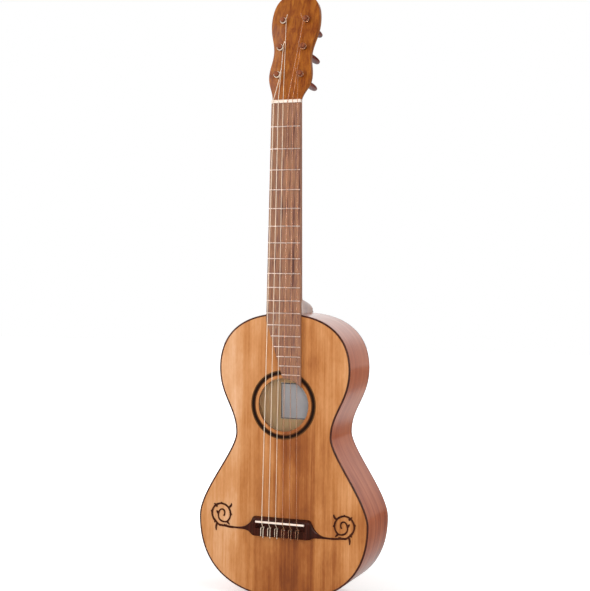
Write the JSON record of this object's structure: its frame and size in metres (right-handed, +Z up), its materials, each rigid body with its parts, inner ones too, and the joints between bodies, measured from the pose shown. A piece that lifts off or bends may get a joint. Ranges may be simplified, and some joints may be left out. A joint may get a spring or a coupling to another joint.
{
  "type": "romantic guitar",
  "caption": "Figure-of-eight acoustic guitar with a waisted body, moustache bridge, slanting fingerboard end, hourglass head and friction pegs that turn.",
  "frame": {"origin": "on the centre line where the strings leave the nut, in the plane of the soundboard's front face, where a wall hanger's yoke takes the neck under the head", "axes": "+Z up along the neck towards the head, -Y out of the soundboard towards the player's hand, +X towards the treble side"},
  "size_m": [0.2772, 0.1172, 0.9322],
  "materials": {
    "soundboard": "honey-coloured softwood with straight grain, thin satin lacquer",
    "back_and_sides": "reddish brown mahogany, glossy lacquer",
    "inside_wood": "bare pale softwood",
    "binding": "dark brown wood, flush, lacquered",
    "neck_wood": "golden brown mahogany with streaks, satin lacquer",
    "fingerboard": "open-pored brown rosewood, oiled",
    "bridge_wood": "dark rosewood, polished",
    "peg_wood": "dark rosewood, turned and polished",
    "bone": "bone or a bone-like plastic, polished",
    "label": "plain paper without print",
    "fret_metal": "nickel silver, polished",
    "wound_string": "silvered copper wound on a nylon core",
    "plain_string": "clear nylon, slightly milky"
  },
  "bodies": {
    "guitar": {"soundboard": "soundboard", "back_plate": "back_and_sides", "bass_side": "back_and_sides", "treble_side": "back_and_sides", "neck_block": "inside_wood", "end_block": "inside_wood", "top_lining_bass": "inside_wood", "top_lining_treble": "inside_wood", "back_lining_bass": "inside_wood", "back_lining_treble": "inside_wood", "top_binding": "binding", "back_binding": "binding", "soundboard_brace_1": "inside_wood", "soundboard_brace_2": "inside_wood", "soundboard_brace_3": "inside_wood", "back_brace_1": "inside_wood", "back_brace_2": "inside_wood", "back_brace_3": "inside_wood", "bridge_plate": "inside_wood", "rosette_ring": "binding", "label": "label", "neck": "neck_wood", "headstock": "neck_wood", "fingerboard": "fingerboard", "nut": "bone", "saddle": "bone", "bridge": "bridge_wood", "bass_scroll": "bridge_wood", "treble_scroll": "bridge_wood", "heel_cap": "bridge_wood", "fret_01": "fret_metal", "fret_02": "fret_metal", "fret_03": "fret_metal", "fret_04": "fret_metal", "fret_05": "fret_metal", "fret_06": "fret_metal", "fret_07": "fret_metal", "fret_08": "fret_metal", "fret_09": "fret_metal", "fret_10": "fret_metal", "fret_11": "fret_metal", "fret_12": "fret_metal", "fret_13": "fret_metal", "fret_14": "fret_metal", "fret_15": "fret_metal", "fret_16": "fret_metal", "fret_17": "fret_metal", "fret_18": "fret_metal", "string_6_e": "wound_string", "string_5_a": "wound_string", "string_4_d": "wound_string", "string_3_g": "plain_string", "string_2_b": "plain_string", "string_1_e": "plain_string"},
    "peg_bass_1": {"peg_bass_1": "peg_wood"},
    "peg_bass_2": {"peg_bass_2": "peg_wood"},
    "peg_bass_3": {"peg_bass_3": "peg_wood"},
    "peg_treble_1": {"peg_treble_1": "peg_wood"},
    "peg_treble_2": {"peg_treble_2": "peg_wood"},
    "peg_treble_3": {"peg_treble_3": "peg_wood"}
  },
  "joints": [
    {"name": "peg_bass_1_turn", "type": "hinge", "parent": "guitar", "child": "peg_bass_1", "pos_m": [-0.019, 0.00968, 0.04411], "axis": [0, -0.9703, 0.2419], "continuous": true},
    {"name": "peg_bass_2_turn", "type": "hinge", "parent": "guitar", "child": "peg_bass_2", "pos_m": [-0.019, 0.02056, 0.08778], "axis": [0, -0.9703, 0.2419], "continuous": true},
    {"name": "peg_bass_3_turn", "type": "hinge", "parent": "guitar", "child": "peg_bass_3", "pos_m": [-0.019, 0.03145, 0.13144], "axis": [0, -0.9703, 0.2419], "continuous": true},
    {"name": "peg_treble_1_turn", "type": "hinge", "parent": "guitar", "child": "peg_treble_1", "pos_m": [0.019, 0.00968, 0.04411], "axis": [0, -0.9703, 0.2419], "continuous": true},
    {"name": "peg_treble_2_turn", "type": "hinge", "parent": "guitar", "child": "peg_treble_2", "pos_m": [0.019, 0.02056, 0.08778], "axis": [0, -0.9703, 0.2419], "continuous": true},
    {"name": "peg_treble_3_turn", "type": "hinge", "parent": "guitar", "child": "peg_treble_3", "pos_m": [0.019, 0.03145, 0.13144], "axis": [0, -0.9703, 0.2419], "continuous": true}
  ]
}
